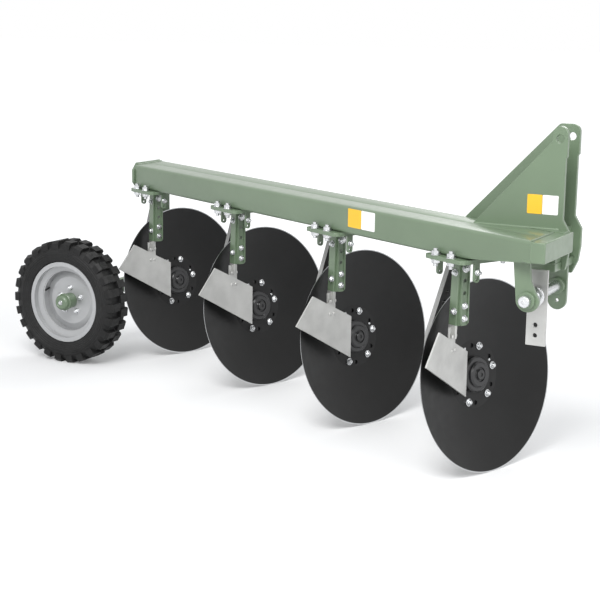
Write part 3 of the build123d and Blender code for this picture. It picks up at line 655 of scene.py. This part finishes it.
def bracket_set(k):
    """Clamp plate with two ears and a channel that hangs from it, and its bolts."""
    x = disc_pitch * (1 - k)

    def here(dx, y, z):
        return along(x + dx, y, z)

    def on_ear(dx):
        return lambda y, z: here(dx, y, z)

    def on_side(y):
        return lambda dx, z: here(dx, y, z)

    bracket = Mesh().plate(rounded(clamp_back, clamp_front, clamp_near, clamp_far, clamp_round),
                           lambda dx, y: here(dx, y, clamp_z), span(up, clamp_thick))
    ear = ([(ear_near, clamp_z), (ear_near, ear_z)] + arc(ear_mid, ear_z, ear_round, 180, 360)
           + [(ear_far, clamp_z)])
    for dx in (clamp_back, clamp_front - ear_thick):
        bracket.plate(ear, on_ear(dx), span(beam_x, ear_thick), [(ear_mid, ear_z, ear_hole)])
    bracket.plate([(hanger_near, hanger_low), (hanger_far, hanger_low), (hanger_far, clamp_z),
                   (hanger_near, clamp_z)], on_ear(hanger_face), span(beam_x, hanger_wall),
                  [(hole_y, z, hanger_hole) for z in (547, 589, 631, 673)])
    side = [(-2, clamp_z), (-2, 532), (7, hanger_low), (31, hanger_low), (40, 532), (40, clamp_z)]
    for y in (hanger_near - hanger_wall, hanger_far):
        bracket.plate(side, on_side(y), span(beam_y, hanger_wall))
    bracket.done(f"bracket_{k}", green, bevel=0.0016, hides=(f"disc_bracket_{k}",))

    bolts = Mesh()
    for dx in (-bolt_half, bolt_half):
        for y in (bolt_near, bolt_far):
            bolts.hex_bolt(here(dx, y, low), up, 0.014, 0.012, 0.017, 0.008)
            bolts.hex_bolt(here(dx, y, clamp_z), -up, 0.014, 0.011, 0.017, 0.010)
    for z in (547, 589):
        bolts.hex_bolt(here(hanger_face + hanger_wall, hole_y, z), beam_x, 0.0095, 0.007, 0.0115)
    bolts.hex_bolt(here(40, -151, 716), beam_x, 0.012, 0.010, 0.015)
    for z in (700, 570):
        bolts.hex_bolt(here(18, arm_y, z), -beam_y, 0.010, 0.008, 0.012)
    for dx, out in ((clamp_back, -beam_x), (clamp_front, beam_x)):
        bolts.hex_bolt(here(dx, ear_mid, 712), out, 0.009, 0.008, 0.0105, 0.008)
    bolts.done(f"bracket_bolts_{k}", zinc)


def arm_set(k):
    """Scraper arm, its bare lower end behind the scraper, and the rivets that hold the scraper."""
    x = disc_pitch * (1 - k)
    turn = math.radians(front_turn if k == 1 else other_turn)
    blade_along = beam_x * math.cos(turn) + beam_y * math.sin(turn)
    blade_out = beam_x * math.sin(turn) - beam_y * math.cos(turn)
    blade_foot = along(x + blade_x, blade_y, blade_z)

    def on_arm(dx, z):
        return along(x + dx, arm_y, z)

    def on_blade(u, v):
        return blade_foot + (blade_along * u + up * v) / MM

    Mesh().plate([(0, arm_head), (36, arm_head), (26, arm_end), (-10, arm_end)], on_arm,
                 span(beam_y, arm_thick)).done(f"arm_{k}", green, bevel=0.0012, hides=(f"scraper_arm_{k}",))
    tongue = Mesh().plate([(-10, arm_end), (26, arm_end), (24, tongue_end), (-12, tongue_end)], on_arm,
                          span(beam_y, arm_thick))
    tongue.plate([(-11, 87), (31, 87), (31, 191), (-11, 191)],
                 lambda u, v: on_blade(u, v) - blade_out * 0.014, blade_out * 0.0078)
    tongue.done(f"arm_tongue_{k}", galvanised, bevel=seam_edge)
    rivets = Mesh()
    for u in (-2, 20):
        for v in (160, 112):
            rivets.dome(on_blade(u, v), blade_out, 0.0075, 0.0035)
    rivets.done(f"scraper_rivets_{k}", galvanised)


def hub_set(k):
    """Hub with its cap and flange, the stud nuts round it and three small plugs."""
    body = f"disc_{k}"
    n = normal[k]
    across = (beam_y * math.cos(disc_yaw) - beam_x * math.sin(disc_yaw)).normalized()
    over = n.cross(across)

    def on_face(turn, radius):
        angle = math.radians(turn)
        return centre[k] + n * (face + 0.0002) + (over * math.cos(angle) - across * math.sin(angle)) * radius

    Mesh().lathe(centre[k], n, hub_profile, 72).done(f"hub_{k}", hub_black, body, "hub_black", smooth=30,
                                                     hides=(f"disc_hub_{k}",))
    studs = Mesh()
    for i in range(stud_count):
        base_point = on_face(360 / stud_count * i + stud_phase, stud_ring)
        studs.hex_bolt(base_point, n, 0.0112, 0.007, 0.0135, 0.0)
        studs.dome(base_point + n * 0.009, n, 0.0085, 0.006)
    for turn, radius in ((-66, 0.092), (28, 0.107), (22, 0.100)):
        studs.dome(on_face(turn, radius), n, 0.0055, 0.004)
    studs.done(f"hub_studs_{k}", zinc, body, "bright_steel")


for k in spin:
    bracket_set(k)
    arm_set(k)
    hub_set(k)

# Wheel: bolts, hub cap and valve
wheel_bolt_count, wheel_bolt_ring, rim_face = 5, 0.056, -0.001
wheel_bolts = Mesh()
for i in range(wheel_bolt_count):
    angle = 2 * math.pi * i / wheel_bolt_count
    ray = up * math.cos(angle) - ahead * math.sin(angle)
    wheel_bolts.hex_bolt(wheel_middle + wheel_out * rim_face + ray * wheel_bolt_ring, wheel_out,
                         0.0112, 0.009, 0.0125, 0.006)
wheel_bolts.done("wheel_bolts", zinc, "wheel", "bright_steel")
cap_end = 0.0715
Mesh().lathe(wheel_middle, wheel_out, [
    (0, 0.0335), (0.040, 0.0345), (0.044, 0.0375), (0.050, 0.0375), (0.053, 0.0345), (0.062, 0.034),
    (0.068, 0.031), (0.0725, 0.026), (0.0735, 0.020), (cap_end, 0.018), (cap_end, 0.0)], 48,
             ).done("wheel_cap", green, "wheel", "green_paint", smooth=30)
Mesh().hex_bolt(wheel_middle + wheel_out * cap_end, wheel_out, 0.008, 0.005, 0.010, 0.0,
                ).done("wheel_cap_bolt", zinc, "wheel", "bright_steel")
ray = (up * 0.35 - ahead).normalized()
Mesh().rod(wheel_middle + ray * 0.128 - wheel_out * 0.006,
           wheel_middle + ray * 0.118 + wheel_out * 0.034, 0.0042, 16, 0.0008,
           ).done("valve", rubber, "wheel", "tyre_rubber")

# Weld beads, each from a first to a last point
welds = Mesh()
for first, last, size in (
        (trav(252, -346.5, taper_z + 3), trav(252, -346.5, top - 6), weld),
        (trav(-40, -78, top), trav(250, -78, top), thick_weld),
        (trav(249, -338, top - 1), trav(249, -130, top - 1), weld),
        (along(344, -199, taper_z + 3), along(382, -198, taper_z + 1), weld),
        (trav(258, -79, 790), trav(258, -79, 850), thick_weld),
        (trav(-40, 64, 858), trav(-40, 64, 776), weld),
        (trav(-38, -60, top + 2), trav(-38, 46, top + 2), thick_weld),
        (trav(180, -292, 783), trav(228, -292, 785), weld),
        (trav(198, 3, base_z - 1), trav(256, 3, base_z - 1), weld),
        (trav(170, -138, base_z + 28), trav(260, -138, base_z + 28), weld),
        (trav(rear_x + 1, rear_right + 12, low + 18), trav(rear_x + 1, rear_right + 12, top - 18), weld),
        (trav(rear_x + 1, rear_left - 12, low + 18), trav(rear_x + 1, rear_left - 12, top - 18), weld),
        (trav(rear_x + 1, rear_right + 18, top), trav(rear_x + 1, rear_left - 18, top), weld)):
    welds.bead(first, last, size)
for k in spin:
    x = disc_pitch * (1 - k)
    for y in (-166, -130):
        welds.bead(along(x, y, 739), along(x + 38, y, 739), thin_weld)
    for dx in (-74, 95):
        welds.bead(along(x + dx, -170, 739), along(x + dx, -150, 739), thin_weld)
welds.done("weld_beads", green, smooth=60)


# Stickers
def sticker(name, origin, right, width, height, material):
    """Blank plate with round corners, lying on an upright face."""
    Mesh().plate(rounded(0, width, 0, height, 3.5), lambda u, v: origin + (right * u + up * v) / MM,
                 right.cross(up).normalized() * 0.0006).done(name, material)


sticker("mast_sticker_yellow", trav(140, mast_right_y, 900), ahead, 50, 62, yellow)
sticker("mast_sticker_white", trav(191, mast_right_y, 900), ahead, 52, 62, white)
sticker("beam_sticker_yellow", along(-533, near_side, 781), beam_x, 76, 66, yellow)
sticker("beam_sticker_white", along(-456, near_side, 781), beam_x, 76, 66, white)


# Floor, light and camera
def straight_rays(tree):
    """One for rays from the camera, also by way of a mirror or clear piece."""
    path = add(tree, "ShaderNodeLightPath")
    last = path.outputs["Is Camera Ray"]
    for kind in ("Is Glossy Ray", "Is Transmission Ray"):
        either = add(tree, "ShaderNodeMath", operation="MAXIMUM")
        tree.links.new(last, either.inputs[0])
        tree.links.new(path.outputs[kind], either.inputs[1])
        last = either.outputs["Value"]
    return last


floor_mat, tree, shader = node_material("floor")
tree.nodes.remove(shader)
diffuse = add(tree, "ShaderNodeBsdfDiffuse")
diffuse.inputs["Color"].default_value = (0.80, 0.80, 0.80, 1)
glow_near, glow_far, near_reach, far_reach = 0.12, 0.62, 2.0, 7.0
glow = add(tree, "ShaderNodeEmission")
gain = add(tree, "ShaderNodeMath", operation="MULTIPLY")
tree.links.new(straight_rays(tree), gain.inputs[0])
tree.links.new(between(tree, from_axis(tree, (0, 0, 0), up), near_reach, far_reach, glow_near, glow_far),
               gain.inputs[1])
tree.links.new(gain.outputs["Value"], glow.inputs["Strength"])
both = add(tree, "ShaderNodeAddShader")
tree.links.new(diffuse.outputs["BSDF"], both.inputs[0])
tree.links.new(glow.outputs["Emission"], both.inputs[1])
tree.links.new(both.outputs["Shader"], tree.nodes["Material Output"].inputs["Surface"])
floor_mesh = bpy.data.meshes.new("floor")
reach, floor_drop = 60.0, 0.0005
floor_mesh.from_pydata([(-reach, -reach, 0), (reach, -reach, 0), (reach, reach, 0), (-reach, reach, 0)], [],
                       [(0, 1, 2, 3)])
floor = bpy.data.objects.new("floor", floor_mesh)
floor_mesh.materials.append(floor_mat)
bpy.context.scene.collection.objects.link(floor)
floor.location.z = -floor_drop

world = bpy.data.worlds.new("studio")
bpy.context.scene.world = world
world.use_nodes = True
tree = world.node_tree
base = tree.nodes["Background"]
base.inputs["Color"].default_value = (0.95, 0.97, 1.0, 1)
base.inputs["Strength"].default_value = 0.62
seen = add(tree, "ShaderNodeBackground")
seen.inputs["Color"].default_value = (1, 1, 1, 1)
seen.inputs["Strength"].default_value = 1.0
mixed = add(tree, "ShaderNodeMixShader")
tree.links.new(straight_rays(tree), mixed.inputs["Fac"])
tree.links.new(base.outputs["Background"], mixed.inputs[1])
tree.links.new(seen.outputs["Background"], mixed.inputs[2])
tree.links.new(mixed.outputs["Shader"], tree.nodes["World Output"].inputs["Surface"])


def lamp(name, place, target, size, power):
    """Round area lamp that points at a target."""
    data = bpy.data.lights.new(name, "AREA")
    data.shape = "DISK"
    data.size = size
    data.energy = power
    obj = bpy.data.objects.new(name, data)
    obj.location = place
    obj.rotation_euler = (Vector(target) - Vector(place)).to_track_quat("-Z", "Y").to_euler()
    bpy.context.scene.collection.objects.link(obj)


lamp("key", (1.2, -4.6, 5.2), (0, 0, 0.4), 3.0, 310)
lamp("fill", (4.5, -3.0, 3.0), (0, 0, 0.5), 3.5, 90)
lamp("back", (0.0, 5.0, 4.0), (0, 0, 0.5), 4.0, 120)

camera_data = bpy.data.cameras.new("camera")
camera = bpy.data.objects.new("camera", camera_data)
bpy.context.scene.collection.objects.link(camera)
camera_data.sensor_width = 36.0
camera_data.sensor_fit = "HORIZONTAL"
camera_data.lens = 83.54
camera_data.clip_end = 200.0
look = Vector((-0.46533906, 0.86229247, -0.199778))
aside = Vector((0.8788081, 0.47702518, 0.01197072))
above = aside.cross(look)
camera_turn = Matrix((aside, above, -look)).transposed().to_4x4()
camera.matrix_world = Matrix.Translation(trav(1608.086, -4321.493, 1509.930)) @ camera_turn
bpy.context.scene.camera = camera
bpy.context.scene.view_settings.view_transform = "Standard"
